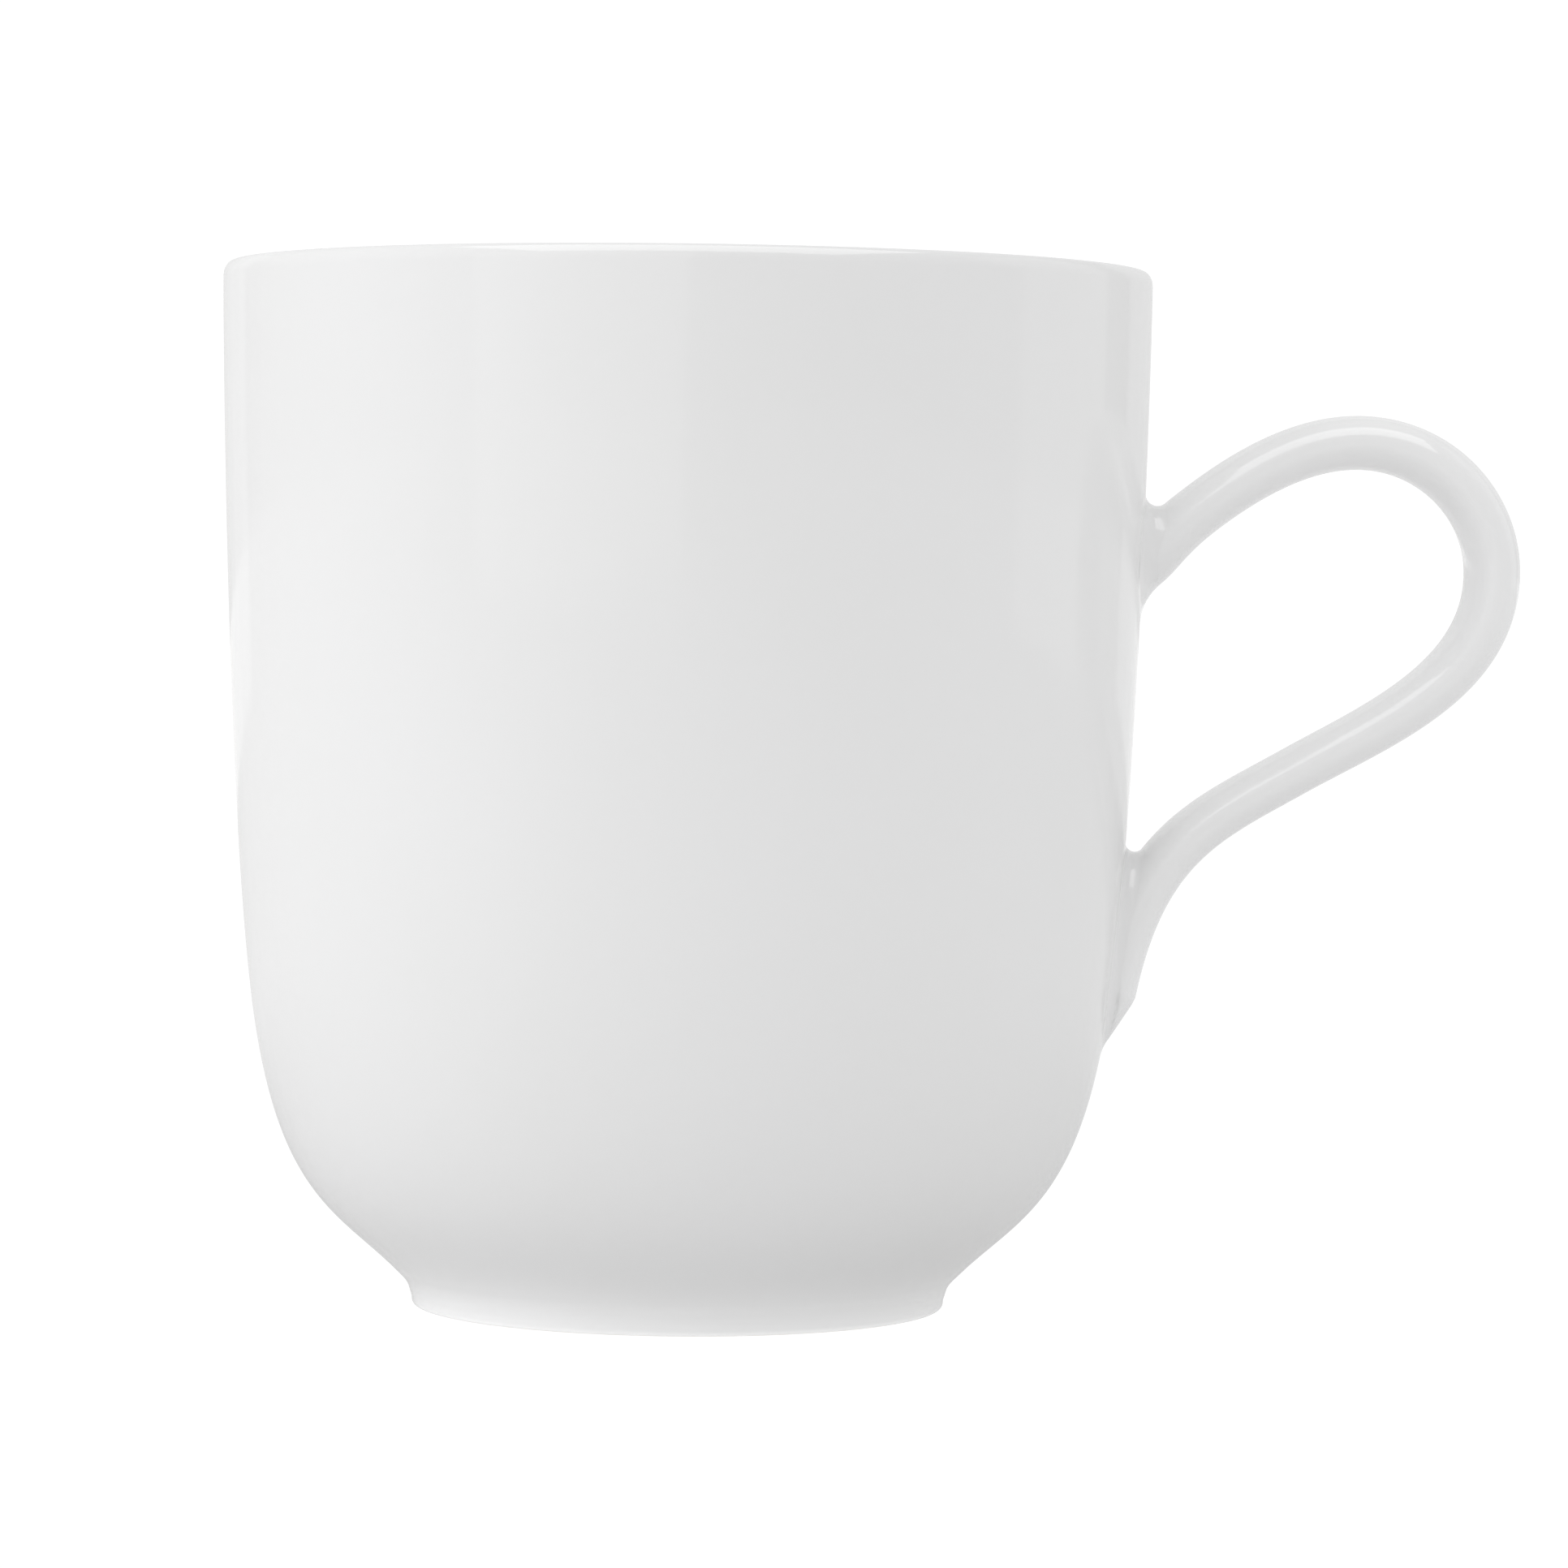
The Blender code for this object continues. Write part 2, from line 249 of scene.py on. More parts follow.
cupShape = {
    "rimPull": 5.4 * mm,  # the wall runs straight down from the rim
    "shoulder": (38.45 * mm, 27.4 * mm),
    "shoulderLean": math.radians(7.5),
    "shoulderPull": 17.7 * mm,
    "neck": (25.6 * mm, 3.4 * mm),  # the belly ends here, above the foot ring
    "neckSlope": math.radians(45.0),
    "neckPull": 7.2 * mm,
    "ringTop": 1.5 * mm,
    "ringLean": math.radians(14.0),
    "ringPulls": (0.4 * mm, 0.35 * mm),
    "hollowPulls": (0.8 * mm, 0.85 * mm),  # from the belly into the ring
    "footRadius": 23.9 * mm,
    "footEdge": 0.5 * mm,
    "footRingWidth": 3.1 * mm,
    "footInnerEdge": 0.5 * mm,
    "footRecess": 2.0 * mm,
    "recessWidth": 1.6 * mm,
    "lipThickness": 2.6 * mm,
    "lipRounds": (0.85 * mm, 1.2 * mm),  # how far the lip's outer and inner rounds reach in
    "wallThickness": 3.5 * mm,
    "floorThickness": 5.0 * mm,
    "floorFlat": 12.0 * mm,
    "floorPull": 15.0 * mm,
    "innerPull": 16.0 * mm,
    # points along each stretch of the outline, and round the cup
    "floorSteps": 12,
    "cornerSteps": 44,
    "innerSteps": 40,
    "lipSteps": (16, 12),  # outer and inner round
    "sideSteps": 56,
    "bellySteps": 64,
    "hollowSteps": 10,
    "ringSteps": 6,
    "edgeSteps": (10, 5, 6),  # the ring's outer edge, its flat and its inner edge
    "coveSteps": 12,
    "underSteps": 15,
    "turnSteps": 288,
}


def outerWall(shape, sideSteps, bellySteps):
    # the outside from the rim down to the neck, as (radius, height): two Beziers
    down = -math.pi / 2
    lean = down - shape["shoulderLean"]
    rim = (rimRadius, rimHeight - shape["lipThickness"] / 2)
    shoulder = shape["shoulder"]
    neck = shape["neck"]
    side = bezier(
        rim,
        ahead(rim, down, shape["rimPull"]),
        ahead(shoulder, lean, -shape["shoulderPull"]),
        shoulder,
        sideSteps,
    )
    belly = bezier(
        shoulder,
        ahead(shoulder, lean, shape["shoulderPull"]),
        ahead(neck, shape["neckSlope"], shape["neckPull"]),
        neck,
        bellySteps,
    )
    return joined(side, belly)


def levelStretch(first, last, height, steps):
    # a straight level stretch of the outline, by radius
    radius = np.linspace(first, last, steps + 1)
    return np.stack((radius, np.full(steps + 1, height)), axis=1)


def cupOutline(shape):
    # middle of the floor, inner wall, lip, outer wall, foot ring, underside
    down = -math.pi / 2
    lean = down - shape["shoulderLean"]
    lipHalf = shape["lipThickness"] / 2
    floorTop = shape["footRecess"] + shape["floorThickness"]
    flatEnd = (shape["floorFlat"], floorTop)
    shoulder = (shape["shoulder"][0] - shape["wallThickness"], shape["shoulder"][1])
    lipInside = (rimRadius - shape["lipThickness"], rimHeight - lipHalf)
    floor = levelStretch(0.0, shape["floorFlat"], floorTop, shape["floorSteps"])
    corner = bezier(
        flatEnd,
        (shape["floorFlat"] + shape["floorPull"], floorTop),
        ahead(shoulder, lean, shape["innerPull"]),
        shoulder,
        shape["cornerSteps"],
    )
    inner = bezier(
        shoulder,
        ahead(shoulder, lean, -shape["shoulderPull"]),
        ahead(lipInside, down, shape["rimPull"]),
        lipInside,
        shape["innerSteps"],
    )
    lipOut, lipIn = shape["lipRounds"]
    outSteps, inSteps = shape["lipSteps"]
    middle = rimHeight - lipHalf
    lip = joined(
        arc((lipInside[0] + lipIn, middle), (lipIn, lipHalf), math.pi, math.pi / 2, inSteps),
        arc((rimRadius - lipOut, middle), (lipOut, lipHalf), math.pi / 2, 0.0, outSteps),
    )
    neck = shape["neck"]
    foot = shape["footRadius"]
    edge = shape["footEdge"]
    innerEdge = shape["footInnerEdge"]
    ringTop = (foot + math.tan(shape["ringLean"]) * (shape["ringTop"] - edge), shape["ringTop"])
    hollow = bezier(
        neck,
        ahead(neck, shape["neckSlope"], -shape["hollowPulls"][0]),
        ahead(ringTop, math.pi / 2 - shape["ringLean"], shape["hollowPulls"][1]),
        ringTop,
        shape["hollowSteps"],
    )
    ringSide = bezier(
        ringTop,
        ahead(ringTop, down - shape["ringLean"], shape["ringPulls"][0]),
        (foot, edge + shape["ringPulls"][1]),
        (foot, edge),
        shape["ringSteps"],
    )
    inside = foot - shape["footRingWidth"]
    outerSteps, flatSteps, innerSteps = shape["edgeSteps"]
    outerEdge = arc((foot - edge, edge), edge, 0.0, down, outerSteps)
    ringFlat = levelStretch(foot - edge, inside + innerEdge, 0.0, flatSteps)
    innerRound = arc((inside + innerEdge, innerEdge), innerEdge, down, -math.pi, innerSteps)
    recess = (inside - shape["recessWidth"], shape["footRecess"])
    coveCorner = (inside, recess[1])
    cove = bezier((inside, innerEdge), coveCorner, coveCorner, recess, shape["coveSteps"])
    under = levelStretch(recess[0], 0.0, recess[1], shape["underSteps"])
    return joined(
        floor,
        corner,
        inner,
        lip,
        outerWall(shape, shape["sideSteps"], shape["bellySteps"]),
        hollow,
        ringSide,
        outerEdge,
        ringFlat,
        innerRound,
        cove,
        under,
    )


def turned(name, outline, steps, material):
    # (r cos a, r sin a, z) about the cup's axis, with a single point at each pole
    angle = np.linspace(0.0, 2 * math.pi, steps, endpoint=False)
    ring = outline[1:-1]
    x = axisX + ring[:, :1] * np.cos(angle)
    y = ring[:, :1] * np.sin(angle)
    z = np.repeat(ring[:, 1:], steps, axis=1)
    grid = np.stack((x, y, z), axis=2).reshape(-1, 3)
    poles = np.array([(axisX, 0.0, outline[0, 1]), (axisX, 0.0, outline[-1, 1])])
    count = len(ring)
    faces = gridFaces(count, steps)
    faces += capFaces(0, steps, count * steps, True)
    faces += capFaces((count - 1) * steps, steps, count * steps + 1, False)
    return meshFrom(name, np.vstack((grid, poles)), faces, material)


wallSteps = 1500  # fine enough to read radii from
wallRounds = 8  # steps towards the nearest point, more than a wall this steep needs
wallCurve = outerWall(cupShape, wallSteps, wallSteps)[::-1]  # heights rising
wallSlope = np.gradient(wallCurve[:, 0], wallCurve[:, 1])


def wallRadius(z):
    # the outer wall's radius R(z), read from its curve
    return np.interp(z, wallCurve[:, 1], wallCurve[:, 0])


def nearestOnWall(points):
    # closest point of the outer wall, and the distance to it (negative inside the wall):
    # the height h moves until (rho - R(h)) R'(h) + (z - h) = 0
    out = np.hypot(points[..., 0] - axisX, points[..., 1])
    height = points[..., 2]
    foot = height.copy()
    for _ in range(wallRounds):
        slope = np.interp(foot, wallCurve[:, 1], wallSlope)
        foot = height + (out - wallRadius(foot)) * slope
    slope = np.interp(foot, wallCurve[:, 1], wallSlope)
    radius = wallRadius(foot)
    gap = (out - radius) * np.sqrt(1.0 + slope**2)
    x = axisX + radius * (points[..., 0] - axisX) / out
    y = radius * points[..., 1] / out
    return np.stack((x, y, foot), axis=-1), gap


handleShape = {
    "archOut": 18.8 * mm,  # the arch's top, outwards from the rim
    "gripBelow": 11.6 * mm,  # heights are measured down from the centre line's top
    "returnOut": 13.3 * mm,
    "returnBelow": 29.6 * mm,
    "returnHeading": math.radians(-150.2),
    "rootBelow": 12.2 * mm,
    "rootBuried": 1.85 * mm,
    "rootHeading": math.radians(41.9),
    "tailBelow": 49.3 * mm,
    "tailHeading": math.radians(-101.3),
    "rootPull": 8.16 * mm,
    "archPulls": (7.84 * mm, 7.13 * mm),
    "gripPulls": (6.0 * mm, 9.68 * mm),
    "returnPulls": (8.27 * mm, 8.73 * mm),
    "tailPull": 13.3 * mm,
    # thickness in the handle's plane, and width across it
    "rootSize": (4.7 * mm, 12.4 * mm),
    "archSize": (4.85 * mm, 11.0 * mm),
    "gripSize": (4.78 * mm, 10.6 * mm),
    "returnSize": (4.35 * mm, 10.2 * mm),
    "tailSize": (4.62 * mm, 12.6 * mm),
    "power": 2.35,  # of the rounded section: 2 is an ellipse
    "reachTrim": 0.13 * mm,  # how far the handle stays inside its box
    "topTrim": 0.12 * mm,
    "rootFlare": (0.55 * mm, 3.4 * mm),  # the underside swells by this, this far out
    "backLength": 6.0 * mm,  # the line runs on behind the root,
    "toeLength": 5.6 * mm,  # and on past the tail, where it tapers off inside the wall:
    "toeThins": 0.93,  # by this share of its thickness
    "toeSoft": 0.16,  # rounded off over this first part,
    "toeNarrows": (0.96, 2.2),  # and in width as sqrt(1 - (share t)^power)
    "rootDepth": 1.3 * mm,  # the solid starts this deep in the wall
    "lineSteps": 400,
    "toeSteps": 60,
    "toeFirst": 0.02,  # the toe's first step, as a share of its length
    "sectionSteps": 6000,
    "aroundSteps": 160,
    "alongSteps": 230,
    "rootRows": 12,  # inside the root fillet, and inside the tail's
    "tailRows": 60,
    "rowsSettle": 0.3,  # rows follow each fillet's edge, less and less over this share
    "searchRoot": (30 * mm, 2000),  # where the fillet's edge is looked for, in steps
    "searchTail": (40 * mm, 2600),
    "searchStart": (20 * mm, 1200),
}


def handlePlaces(shape):
    # the centre line's five places: point, heading, pulls before and after, size
    top = handleTop - shape["topTrim"] - shape["archSize"][0] / 2
    reach = handleReach - shape["reachTrim"]
    root = top - shape["rootBelow"]
    tail = top - shape["tailBelow"]
    places = (
        ((wallRadius(root) - shape["rootBuried"], root), shape["rootHeading"]),
        ((rimRadius + shape["archOut"], top), 0.0),
        ((reach - shape["gripSize"][0] / 2, top - shape["gripBelow"]), -math.pi / 2),
        ((rimRadius + shape["returnOut"], top - shape["returnBelow"]), shape["returnHeading"]),
        ((wallRadius(tail), tail), shape["tailHeading"]),
    )
    pulls = (
        (0.0, shape["rootPull"]),
        shape["archPulls"],
        shape["gripPulls"],
        shape["returnPulls"],
        (shape["tailPull"], 0.0),
    )
    sizes = [shape[key] for key in ("rootSize", "archSize", "gripSize", "returnSize", "tailSize")]
    return places, pulls, sizes


def handleLine(shape):
    # the centre line as five columns: length so far, x, z, half thickness, half width;
    # Beziers from place to place, with sizes eased by (1 - cos) / 2
    places, pulls, sizes = handlePlaces(shape)
    steps = shape["lineSteps"]
    line = []
    size = []
    ease = (1.0 - np.cos(np.linspace(0.0, math.pi, steps + 1))) / 2
    for i in range(4):
        (start, heading), (end, endHeading) = places[i], places[i + 1]
        line.append(
            bezier(
                start,
                ahead(start, heading, pulls[i][1]),
                ahead(end, endHeading, -pulls[i + 1][0]),
                end,
                steps,
            )
        )
        size.append(np.outer(1 - ease, sizes[i]) + np.outer(ease, sizes[i + 1]))
    line = np.vstack(line)
    size = np.vstack(size)
    keep = np.append(True, np.linalg.norm(np.diff(line, axis=0), axis=1) > closest)
    line, size = line[keep], size[keep]
    # straight on behind the root, and a toe that tapers off inside the wall
    back = ahead(line[0], shape["rootHeading"], -shape["backLength"])
    toe = np.linspace(shape["toeFirst"], 1.0, shape["toeSteps"])[:, None]
    toeEnd = np.array(ahead(line[-1], shape["tailHeading"], shape["toeLength"]))
    line = np.vstack((back, line, line[-1] + toe * (toeEnd - line[-1])))
    share, power = shape["toeNarrows"]
    thin = 1.0 - shape["toeThins"] * smoothStart(toe, shape["toeSoft"])
    taper = np.hstack((thin, np.sqrt(1.0 - (share * toe) ** power)))
    size = np.vstack((size[0], size, taper * size[-1]))
    length = np.append(0.0, np.cumsum(np.linalg.norm(np.diff(line, axis=0), axis=1)))
    return length, line[:, 0] + axisX, line[:, 1], size[:, 0] / 2, size[:, 1] / 2


def smoothStart(t, soft):
    # 0 to 1 in a straight line, but for a rounded first part
    return np.where(t < soft, t * t / (2 * soft), t - soft / 2) / (1 - soft / 2)


lineLength, lineX, lineZ, lineHalf, lineWide = handleLine(handleShape)
rootLength = handleShape["backLength"] + handleShape["rootBuried"] / math.cos(
    handleShape["rootHeading"]
)
lineEnd = lineLength[-1]
lineHeading = np.unwrap(np.arctan2(np.gradient(lineZ, lineLength), np.gradient(lineX, lineLength)))


def sectionTable(shape):
    # superellipse |x/a|^p + |y/b|^p = 1, read at equal steps of its length
    power = shape["power"]
    half, wide = shape["gripSize"]
    a = np.linspace(0.0, 2 * math.pi, shape["sectionSteps"] + 1)
    x = np.sign(np.cos(a)) * np.abs(np.cos(a)) ** (2 / power)
    y = np.sign(np.sin(a)) * np.abs(np.sin(a)) ** (2 / power)
    step = np.hypot(np.diff(x * half), np.diff(y * wide))
    length = np.append(0.0, np.cumsum(step))
    # outward part of its normal (|x|^(p-1) / a, |y|^(p-1) / b): 1 outside, 0 beside, -1 inside
    normalOut = np.sign(x) * np.abs(x) ** (power - 1) / half
    normalSide = np.abs(y) ** (power - 1) / wide
    return length / length[-1], x, y, normalOut / np.hypot(normalOut, normalSide)


sectionPart, sectionOut, sectionSide, sectionFacing = sectionTable(handleShape)
normalSteps = (2e-4, 0.03 * mm)  # round the section and along the line


def strapPoint(u, s):
    # centre line at s + half thickness across it in its plane + half width along Y;
    # u goes once round the section, from the outer side
    heading = np.interp(s, lineLength, lineHeading)
    out = np.interp(u % 1.0, sectionPart, sectionOut)
    flare, reach = handleShape["rootFlare"]
    fromWall = (s - rootLength) / reach
    inner = np.where(out < 0, flare * np.exp(-(np.maximum(fromWall, 0) ** 2)), 0)
    out = out * (np.interp(s, lineLength, lineHalf) + inner)
    side = np.interp(u % 1.0, sectionPart, sectionSide) * np.interp(s, lineLength, lineWide)
    x = np.interp(s, lineLength, lineX) - out * np.sin(heading)
    z = np.interp(s, lineLength, lineZ) + out * np.cos(heading)
    return np.stack((x, side, z), axis=-1)


def strapNormal(u, s):
    # outward normal, from small steps both ways
    du, ds = normalSteps
    around = strapPoint(u + du, s) - strapPoint(u - du, s)
    along = strapPoint(u, s + ds) - strapPoint(u, s - ds)
    normal = np.cross(along, around)
    return normal / np.linalg.norm(normal, axis=-1, keepdims=True)


rootFillet = {
    # radius of the slip's fillet on the handle's outer side, beside it and on its inner side
    "outer": 1.15 * mm,
    "side": 1.9 * mm,
    "inner": 5.2 * mm,
    "power": 2.0,
}
tailFillet = {
    "outer": 4.3 * mm,
    "side": 1.15 * mm,
    "inner": 0.95 * mm,
    "power": 1.6,
}
filletEdges = {
    "arcSteps": 20,
    "feathers": (0.14 * mm, 0.45 * mm),  # the thin edges run out this far,
    "sinks": (0.004 * mm, 0.025 * mm),  # and sink this deep
    "cornerDepth": 2.0 * mm,
    "buried": 0.8 * mm,
}


def dot(a, b):
    # of each pair of rows
    return np.sum(a * b, axis=-1, keepdims=True)


def unit(a):
    # each row at length 1
    return a / np.linalg.norm(a, axis=-1, keepdims=True)


def filletRadius(u, shape):
    # side + (outer - side) * facing^power, or the same with inner where it faces inwards
    facing = np.interp(u % 1.0, sectionPart, sectionFacing)
    edge = np.where(facing > 0, shape["outer"], shape["inner"])
    return shape["side"] + (edge - shape["side"]) * np.abs(facing) ** shape["power"]


def filletContact(u, s, shape):
    # along each line of the handle, towards the wall, the first place where a ball that
    # touches it from outside, radius r, has its centre only r away from the wall
    uu, ss = np.meshgrid(u, s, indexing="ij")
    radius = filletRadius(uu, shape)
    centre = strapPoint(uu, ss) + radius[..., None] * strapNormal(uu, ss)
    spare = nearestOnWall(centre)[1] - radius
    after = np.clip(np.argmax(spare < 0, axis=1), 1, len(s) - 1)
    row = np.arange(len(u))
    before, behind = spare[row, after - 1], spare[row, after]
    t = np.clip(before / (before - behind), 0, 1)
    return s[after - 1] + t * (s[after] - s[after - 1])


def filletPiece(name, u, contact, shape, flipped, material):
    # rows of points round the joint: the ball's arc from the handle to the wall, as
    # centre + radius * slerp(to handle, to wall); at both ends a feather edge that sinks
    # under the surface it runs out on; and a way back inside, past the joint's corner
    radius = filletRadius(u, shape)[:, None]
    touch = strapPoint(u, contact)
    normal = strapNormal(u, contact)
    centre = touch + radius * normal
    wall = nearestOnWall(centre)[0]
    toWall = unit(wall - centre)
    turn = np.arccos(np.clip(dot(-normal, toWall), -1, 1))
    t = np.linspace(0.0, 1.0, filletEdges["arcSteps"] + 1)[:, None, None]
    swing = (np.sin((1 - t) * turn) * -normal + np.sin(t * turn) * toWall) / np.sin(turn)
    arcRows = centre + radius * swing
    onward = arcRows[-1] - arcRows[-2]
    onward = unit(onward - toWall * dot(onward, toWall))
    run = np.array(filletEdges["feathers"])[:, None, None]
    sink = np.array(filletEdges["sinks"])[:, None, None]
    wallEdges = nearestOnWall(wall + run * onward)[0] + sink * toWall
    between = unit(toWall - normal)
    depth = np.minimum(radius / np.cos(turn / 2), radius + filletEdges["cornerDepth"])
    buried = filletEdges["buried"]
    inside = (
        wall + buried * toWall,
        centre + (depth + buried) * between,
        touch - buried * normal,
    )
    points = np.concatenate((arcRows, wallEdges, np.stack(inside)))
    edgeNormals = np.broadcast_to(-toWall, wallEdges.shape)
    normals = np.concatenate((-swing, edgeNormals, np.stack((-toWall, -between, normal))))
    faces = gridFaces(len(points), len(u), True, flipped)
    return meshFrom(name, points.reshape(-1, 3), faces, material, normals.reshape(-1, 3))


def handlePiece(name, u, rootContact, tailContact, rootStart, shape, material):
    # handle point(u, s), with s from inside the wall, by both fillets' edges, to the toe
    settle = shape["rowsSettle"]
    t = np.linspace(0.0, 1.0, shape["alongSteps"] + 1)[:, None]
    first, last = rootContact.mean(), tailContact.mean()
    fade = np.clip(1.0 - t / settle, 0, 1) ** 2
    fadeBack = np.clip(1.0 - (1.0 - t) / settle, 0, 1) ** 2
    middle = first + (last - first) * t
    middle = middle + fade * (rootContact - first) + fadeBack * (tailContact - last)
    t = np.linspace(0.0, 1.0, shape["rootRows"] + 1)[:-1, None]
    before = rootStart + t * (rootContact - rootStart)
    t = np.linspace(0.0, 1.0, shape["tailRows"] + 1)[1:-1, None]
    after = tailContact + t * (lineEnd - tailContact)
    s = np.vstack((before, middle, after))
    points = strapPoint(u + 0 * s, s)
    normals = strapNormal(u + 0 * s, s)
    rows, columns = s.shape
    poles = np.array((points[0].mean(axis=0), strapPoint(np.zeros(1), np.array([lineEnd]))[0]))
    poles[1, 1] = 0.0
    faces = gridFaces(rows, columns)
    faces += capFaces(0, columns, rows * columns, True)
    faces += capFaces((rows - 1) * columns, columns, rows * columns + 1, False)
    points = np.vstack((points.reshape(-1, 3), poles))
    normals = np.vstack((normals.reshape(-1, 3), (-1.0, 0.0, 0.0), (0.0, 0.0, -1.0)))
    return meshFrom(name, points, faces, material, normals)


def wallDepth(u, s, depth):
    # where each line of the handle, followed inwards, reaches this depth inside the wall
    uu, ss = np.meshgrid(u, s, indexing="ij")
    gap = nearestOnWall(strapPoint(uu, ss))[1] + depth
    after = np.clip(np.argmax(gap < 0, axis=1), 1, len(s) - 1)
    return s[after]


whiteGlaze = glazeMaterial("whiteGlaze", glazeLook, bareFoot=True)
# painted light: the handle's glaze is lightened to stand in for light through the thin porcelain
paintedLightHandleGlaze = glazeMaterial("paintedLightHandleGlaze", paintedLightHandleLook)
# painted light: the fillets' glaze is lightened halfway towards the handle's
paintedLightSlipGlaze = glazeMaterial("paintedLightSlipGlaze", paintedLightSlipLook)

cupBody = turned("cupBody", cupOutline(cupShape), cupShape["turnSteps"], whiteGlaze)
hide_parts("body")
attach(cupBody, "root")
print("cup turned")

around = np.linspace(0.0, 1.0, handleShape["aroundSteps"], endpoint=False)
reach, steps = handleShape["searchRoot"]
rootContact = filletContact(around, np.linspace(reach, 0.0, steps), rootFillet)
reach, steps = handleShape["searchTail"]
tailContact = filletContact(around, np.linspace(lineEnd - reach, lineEnd, steps), tailFillet)
reach, steps = handleShape["searchStart"]
rootStart = wallDepth(around, np.linspace(reach, 0.0, steps), handleShape["rootDepth"])
earHandle = handlePiece(
    "earHandle", around, rootContact, tailContact, rootStart, handleShape, paintedLightHandleGlaze
)
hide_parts("handle")
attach(earHandle, "root")
print("handle swept")

for name, node, contact, shape, flipped in (
    ("upperFillet", "upper_slip_joint", rootContact, rootFillet, True),
    ("lowerFillet", "lower_slip_joint", tailContact, tailFillet, False),
):
    piece = filletPiece(name, around, contact, shape, flipped, paintedLightSlipGlaze)
    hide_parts(node)
    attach(piece, "root")
print("fillets made")


studio = {
    "cameraPlace": (0.0, -535.53 * mm, 65.12 * mm),  # from the foot of the cup's axis
    "yaw": math.radians(0.969),
    "pitch": math.radians(-1.944),
    "roll": math.radians(0.671),
    "lens": 136.94,
    "sensor": 36.0,
    "nearClip": 0.01,
    "floorSize": 8.0,
    "floorDrop": 0.01 * mm,  # just under the foot ring
    "floorColour": (0.74, 0.74, 0.74),
    "floorRoughness": 0.9,
    "floorGlow": 0.045,  # a little light from below, as off a large white table
    "paper": 1.05,  # how bright the floor and the room look to the camera
    "room": 0.57,  # how bright the room is as a light,
    "roomMirrored": 0.62,  # and mirrored in the glaze
    "floorMirrored": (0.62, 0.8),  # the floor in the glaze, close by and far off
    "floorMirroredReach": (0.04, 0.25),
    "footGlow": 0.5,  # the table lights the foot ring from close by,
    "footGlowReach": 5.0 * mm,  # out to this far from it
    "boxDistance": 0.9,  # from the cup's axis at this height to each soft box
    "boxAim": 0.05,
}


def addCamera(look):
    # looks along (sin yaw cos pitch, cos yaw cos pitch, sin pitch), turned by roll
    yaw, pitch, roll = look["yaw"], look["pitch"], look["roll"]
    forward = np.array(
        (math.sin(yaw) * math.cos(pitch), math.cos(yaw) * math.cos(pitch), math.sin(pitch))
    )
    level = np.array((math.cos(yaw), -math.sin(yaw), 0.0))
    upright = np.cross(level, forward)
    right = math.cos(roll) * level + math.sin(roll) * upright
    up = math.cos(roll) * upright - math.sin(roll) * level
    data = bpy.data.cameras.new("studioCamera")
    data.lens = look["lens"]
    data.sensor_width = look["sensor"]
    data.clip_start = look["nearClip"]
    camera = bpy.data.objects.new("studioCamera", data)
    x, y, z = look["cameraPlace"]
    turn = Matrix(np.stack((right, up, -forward), axis=1).tolist()).to_4x4()
    camera.matrix_world = Matrix.Translation((x + axisX, y, z)) @ turn
    bpy.context.scene.collection.objects.link(camera)
    bpy.context.scene.camera = camera


def glowing(nodes, kind, strength):
    # a plain white shader of this strength
    node = nodes.new(kind)
    node.inputs["Color"].default_value = (1.0, 1.0, 1.0, 1.0)
    node.inputs["Strength"].default_value = strength
    return node


def shownByRay(nodes, links, base, mirrored, seen):
    # the base shader, but another where the glaze mirrors it, and another to the camera
    path = nodes.new("ShaderNodeLightPath")
    for ray, shown in (("Is Glossy Ray", mirrored), ("Is Camera Ray", seen)):
        mix = nodes.new("ShaderNodeMixShader")
        links.new(path.outputs[ray], mix.inputs["Fac"])
        links.new(base.outputs[0], mix.inputs[1])
        links.new(shown.outputs[0], mix.inputs[2])
        base = mix
    return base.outputs[0]


def addFloor(look):
    # a level square; its light and its mirror image change with the distance from the cup
    half = look["floorSize"] / 2
    points = np.array(((-half, -half), (half, -half), (half, half), (-half, half)))
    points = np.hstack((points, np.full((4, 1), -look["floorDrop"])))
    material = bpy.data.materials.new("paleFloor")
    material.use_nodes = True
    nodes = material.node_tree.nodes
    links = material.node_tree.links
    away = nodes.new("ShaderNodeVectorMath")
    away.operation = "DISTANCE"
    away.inputs[1].default_value = (axisX, 0.0, 0.0)
    links.new(nodes.new("ShaderNodeTexCoord").outputs["Object"], away.inputs[0])

    def fading(reach, strengths, socket):
        # strength by distance from the cup's axis, in a smooth step
        node = nodes.new("ShaderNodeMapRange")
        node.interpolation_type = "SMOOTHSTEP"
        node.inputs["From Min"].default_value = reach[0]
        node.inputs["From Max"].default_value = reach[1]
        node.inputs["To Min"].default_value = strengths[0]
        node.inputs["To Max"].default_value = strengths[1]
        links.new(away.outputs["Value"], node.inputs["Value"])
        links.new(node.outputs["Result"], socket)

    table = nodes["Principled BSDF"]
    table.inputs["Base Color"].default_value = (*look["floorColour"], 1.0)
    table.inputs["Roughness"].default_value = look["floorRoughness"]
    table.inputs["Emission Color"].default_value = (1.0, 1.0, 1.0, 1.0)
    foot = cupShape["footRadius"]
    glowReach = (foot, foot + look["footGlowReach"])
    fading(glowReach, (look["footGlow"], look["floorGlow"]), table.inputs["Emission Strength"])
    mirrored = glowing(nodes, "ShaderNodeEmission", 0.0)
    fading(look["floorMirroredReach"], look["floorMirrored"], mirrored.inputs["Strength"])
    seen = glowing(nodes, "ShaderNodeEmission", look["paper"])
    shown = shownByRay(nodes, links, table, mirrored, seen)
    links.new(shown, nodes["Material Output"].inputs["Surface"])
    floor = meshFrom("paleFloor", points, [[0, 1, 2, 3]], material)


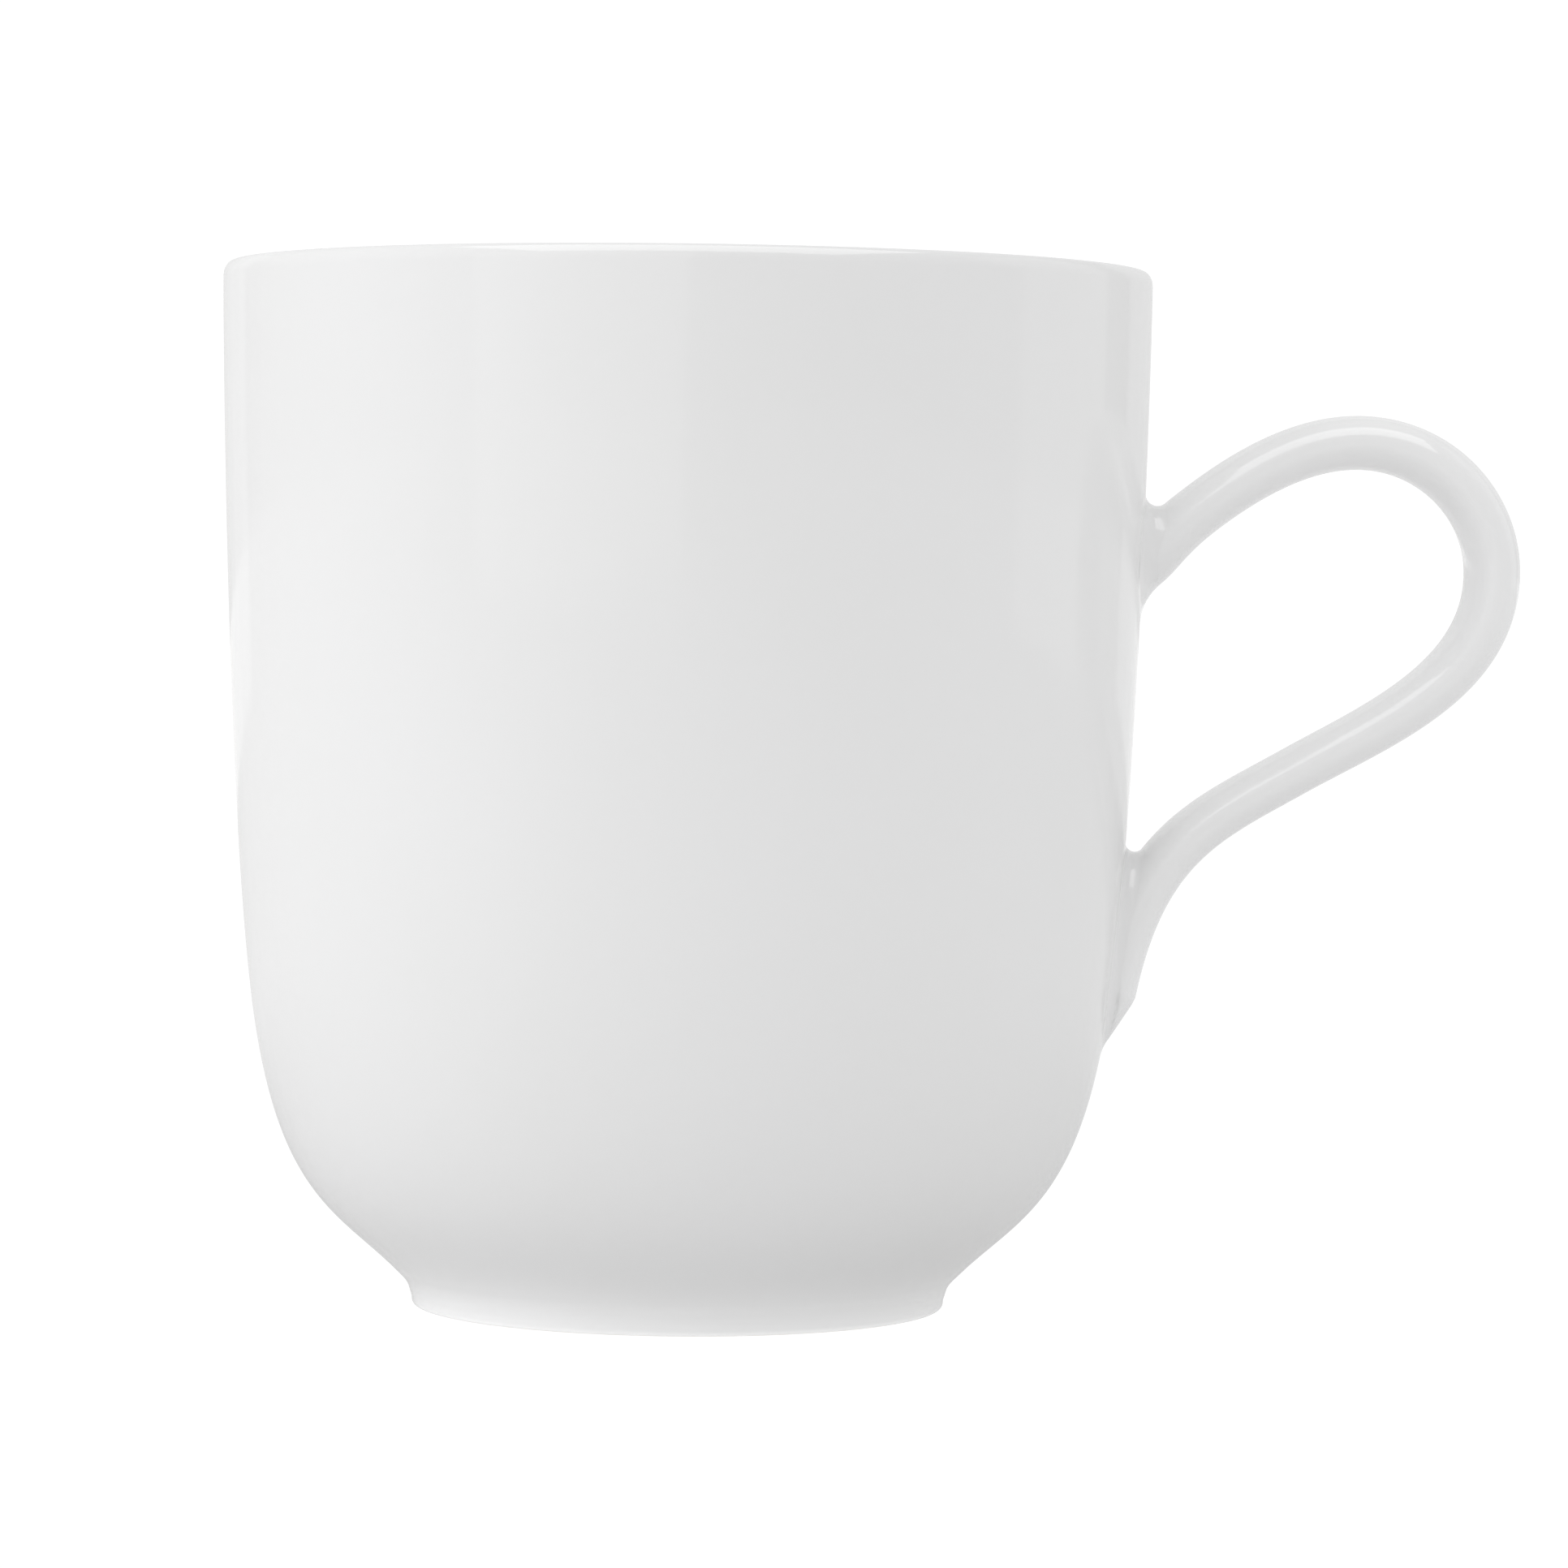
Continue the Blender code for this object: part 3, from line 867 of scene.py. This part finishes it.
def addWorld(look):
    # an even pale room, with its own strength as a light, in the glaze and to the camera
    world = bpy.data.worlds.new("paleRoom")
    world.use_nodes = True
    bpy.context.scene.world = world
    nodes = world.node_tree.nodes
    links = world.node_tree.links
    nodes.remove(nodes["Background"])
    room, mirrored, seen = (
        glowing(nodes, "ShaderNodeBackground", look[key]) for key in ("room", "roomMirrored", "paper")
    )
    shown = shownByRay(nodes, links, room, mirrored, seen)
    links.new(shown, nodes["World Output"].inputs["Surface"])


def addSoftBox(look, name, azimuth, elevation, width, height, power, does):
    # a rectangle of light facing the mug; azimuth 0 is the camera's side, 90 is +X;
    # it lights the mug, is mirrored in the glaze, or both, and the camera never sees it
    a, e = math.radians(azimuth), math.radians(elevation)
    away = np.array((math.sin(a) * math.cos(e), -math.cos(a) * math.cos(e), math.sin(e)))
    data = bpy.data.lights.new(name, "AREA")
    data.shape = "RECTANGLE"
    data.size = width
    data.size_y = height
    data.energy = power
    light = bpy.data.objects.new(name, data)
    side = np.array((math.cos(a), math.sin(a), 0.0))
    light.visible_diffuse = does != "mirrored"
    light.visible_glossy = does != "lights"
    light.visible_camera = False
    turn = Matrix(np.stack((side, np.cross(away, side), away), axis=1).tolist()).to_4x4()
    place = look["boxDistance"] * away + (axisX, 0, look["boxAim"])
    light.matrix_world = Matrix.Translation(place.tolist()) @ turn
    bpy.context.scene.collection.objects.link(light)


softBoxes = (
    # name, azimuth, elevation, width, height, watts, what it does
    ("keyLeft", -80, 25, 0.8, 0.9, 2.7, "lights"),
    ("frontTop", 0, 50, 0.9, 0.6, 0.85, "lights"),
    ("front", 0, 10, 0.6, 0.8, 0.3, "lights"),
    ("right", 90, 25, 0.8, 0.9, 1.0, "lights"),
    ("top", 0, 89, 1.0, 1.0, 0.5, "lights"),
    ("backTop", 180, 55, 0.9, 0.5, 1.1, "lights"),
    ("backLeft", -135, 20, 0.8, 0.8, 0.42, "lights"),
    ("backRight", 135, 20, 0.8, 0.8, 0.33, "lights"),
    ("window", -26, 12, 0.88, 0.75, 0.8, "both"),
    ("rightPanel", 105, 20, 0.6, 0.9, 0.48, "both"),
    ("backdrop", 180, 14, 1.6, 0.6, 0.52, "both"),
    ("ceiling", 0, 70, 1.2, 0.9, 7.5, "mirrored"),
)
addCamera(studio)
addFloor(studio)
addWorld(studio)
for row in softBoxes:
    addSoftBox(studio, *row)
bpy.context.scene.view_settings.view_transform = "Standard"
print("studio lit")
